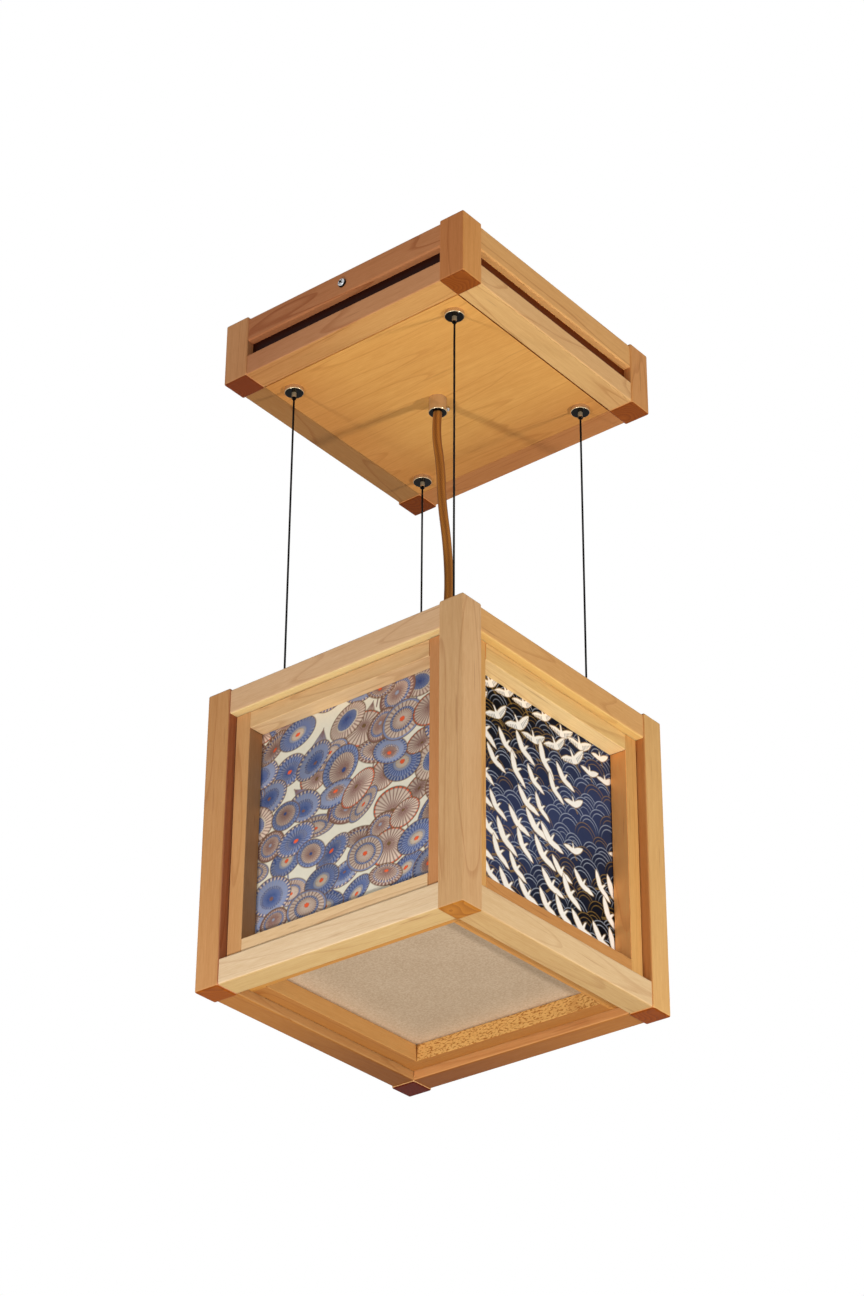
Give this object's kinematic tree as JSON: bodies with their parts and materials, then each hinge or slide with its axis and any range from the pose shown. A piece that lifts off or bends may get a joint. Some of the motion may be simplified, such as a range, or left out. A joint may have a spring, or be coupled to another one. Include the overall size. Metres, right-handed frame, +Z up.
{
  "type": "pendant lamp",
  "caption": "Square wooden pendant lamp: slotted ceiling canopy and cube lantern with printed paper sides and a diffuser, hung on wire cables in adjustable grippers beside a fabric flex.",
  "frame": {"origin": "centre of the ceiling face, in the plane of the canopy post tops", "axes": "+Z up; the front post is at +X -Y, the two pictured sides face -Y and +X"},
  "size_m": [0.25, 0.2532, 0.604],
  "materials": {
    "maple_post": "oiled maple, slightly pink, eased edges",
    "maple_rail": "oiled maple, satin",
    "maple_frame": "oiled maple, satin",
    "plywood": "oiled maple-faced plywood, satin",
    "nickel": "bright nickel plate",
    "zinc_steel": "zinc plated steel",
    "black_cable": "blackened stranded steel wire",
    "brown_fabric": "woven golden brown braid over round flex",
    "parasol_print": "matt printed paper with parasol discs",
    "wave_print": "matt printed paper with waves and birds",
    "diffuser_sheet": "matt opal sheet",
    "terminal_plastic": "moulded, matt",
    "holder_plastic": "black moulded, satin",
    "bulb_white": "opal globe with a metal screw cap"
  },
  "bodies": {
    "canopy": {"canopy_post_left": "maple_post", "canopy_post_front": "maple_post", "canopy_post_right": "maple_post", "canopy_post_rear": "maple_post", "canopy_upper_rail_front_left": "maple_rail", "canopy_upper_rail_front_right": "maple_rail", "canopy_upper_rail_back_right": "maple_rail", "canopy_upper_rail_back_left": "maple_rail", "canopy_lower_rail_front_left": "maple_rail", "canopy_lower_rail_front_right": "maple_rail", "canopy_lower_rail_back_right": "maple_rail", "canopy_lower_rail_back_left": "maple_rail", "canopy_panel": "plywood", "ceiling_bracket": "zinc_steel", "bracket_screws": "zinc_steel", "gripper_bodies": "nickel", "panel_nuts": "zinc_steel", "cord_grip": "nickel", "cord_grip_screw": "nickel", "terminal_block": "terminal_plastic"},
    "lantern": {"lantern_post_left": "maple_post", "lantern_post_front": "maple_post", "lantern_post_right": "maple_post", "lantern_post_rear": "maple_post", "lantern_top_rail_front_left": "maple_rail", "lantern_top_rail_front_right": "maple_rail", "lantern_top_rail_back_right": "maple_rail", "lantern_top_rail_back_left": "maple_rail", "lantern_bottom_rail_front_left": "maple_rail", "lantern_bottom_rail_front_right": "maple_rail", "lantern_bottom_rail_back_right": "maple_rail", "lantern_bottom_rail_back_left": "maple_rail", "side_frame_front_left": "maple_frame", "side_frame_front_right": "maple_frame", "side_frame_back_right": "maple_frame", "side_frame_back_left": "maple_frame", "print_panel_front_left": "parasol_print", "print_panel_front_right": "wave_print", "print_panel_back_right": "parasol_print", "print_panel_back_left": "wave_print", "bottom_frame": "maple_frame", "diffuser": "diffuser_sheet", "top_frame": "maple_frame", "cable_anchors": "nickel", "flex_bush": "nickel", "lampholder": "holder_plastic", "bulb": "bulb_white"},
    "flex": {"flex_cord": "brown_fabric"},
    "cable_left": {"suspension_cable_left": "black_cable"},
    "cable_end_left": {"cable_end_left": "nickel"},
    "plunger_left": {"gripper_plunger_left": "nickel"},
    "cable_front": {"suspension_cable_front": "black_cable"},
    "cable_end_front": {"cable_end_front": "nickel"},
    "plunger_front": {"gripper_plunger_front": "nickel"},
    "cable_right": {"suspension_cable_right": "black_cable"},
    "cable_end_right": {"cable_end_right": "nickel"},
    "plunger_right": {"gripper_plunger_right": "nickel"},
    "cable_rear": {"suspension_cable_rear": "black_cable"},
    "cable_end_rear": {"cable_end_rear": "nickel"},
    "plunger_rear": {"gripper_plunger_rear": "nickel"}
  },
  "joints": [
    {"name": "sway", "type": "hinge", "parent": "canopy", "child": "cable_front", "pos_m": [0.084, -0.084, -0.0685], "axis": [0, 1, 0], "range_deg": [-8, 8]},
    {"name": "sway_left", "type": "hinge", "parent": "canopy", "child": "cable_left", "pos_m": [-0.084, -0.084, -0.0685], "axis": [0, 1, 0], "range_deg": [-8, 8]},
    {"name": "sway_right", "type": "hinge", "parent": "canopy", "child": "cable_right", "pos_m": [0.084, 0.084, -0.0685], "axis": [0, 1, 0], "range_deg": [-8, 8]},
    {"name": "sway_rear", "type": "hinge", "parent": "canopy", "child": "cable_rear", "pos_m": [-0.084, 0.084, -0.0685], "axis": [0, 1, 0], "range_deg": [-8, 8]},
    {"name": "height", "type": "slide", "parent": "cable_front", "child": "cable_end_front", "axis": [0, 0, 1], "range_m": [0, 0.15], "deforming": ["suspension_cable_front", "flex_cord"]},
    {"name": "height_left", "type": "slide", "parent": "cable_left", "child": "cable_end_left", "axis": [0, 0, 1], "range_m": [0, 0.15], "deforming": ["suspension_cable_left"]},
    {"name": "height_right", "type": "slide", "parent": "cable_right", "child": "cable_end_right", "axis": [0, 0, 1], "range_m": [0, 0.15], "deforming": ["suspension_cable_right"]},
    {"name": "height_rear", "type": "slide", "parent": "cable_rear", "child": "cable_end_rear", "axis": [0, 0, 1], "range_m": [0, 0.15], "deforming": ["suspension_cable_rear"]},
    {"name": "level", "type": "hinge", "parent": "cable_end_front", "child": "lantern", "pos_m": [0.084, -0.084, -0.3699], "axis": [0, 1, 0], "range_deg": [-8, 8]},
    {"name": "sway_flex", "type": "hinge", "parent": "canopy", "child": "flex", "pos_m": [0, 0, -0.0728], "axis": [0, 1, 0], "range_deg": [-8, 8]},
    {"name": "plunger_left", "type": "slide", "parent": "canopy", "child": "plunger_left", "axis": [0, 0, 1], "range_m": [0, 0.0022], "stiffness_N_per_m": 500, "springref_m": -0.001},
    {"name": "plunger_front", "type": "slide", "parent": "canopy", "child": "plunger_front", "axis": [0, 0, 1], "range_m": [0, 0.0022], "stiffness_N_per_m": 500, "springref_m": -0.001},
    {"name": "plunger_right", "type": "slide", "parent": "canopy", "child": "plunger_right", "axis": [0, 0, 1], "range_m": [0, 0.0022], "stiffness_N_per_m": 500, "springref_m": -0.001},
    {"name": "plunger_rear", "type": "slide", "parent": "canopy", "child": "plunger_rear", "axis": [0, 0, 1], "range_m": [0, 0.0022], "stiffness_N_per_m": 500, "springref_m": -0.001}
  ],
  "couplings": [
    {"joint": "sway_left", "follows": "sway", "ratio": 1},
    {"joint": "sway_right", "follows": "sway", "ratio": 1},
    {"joint": "sway_rear", "follows": "sway", "ratio": 1},
    {"joint": "height_left", "follows": "height", "ratio": 1},
    {"joint": "height_right", "follows": "height", "ratio": 1},
    {"joint": "height_rear", "follows": "height", "ratio": 1},
    {"joint": "level", "follows": "sway", "ratio": -1},
    {"joint": "sway_flex", "follows": "sway", "ratio": 1}
  ]
}
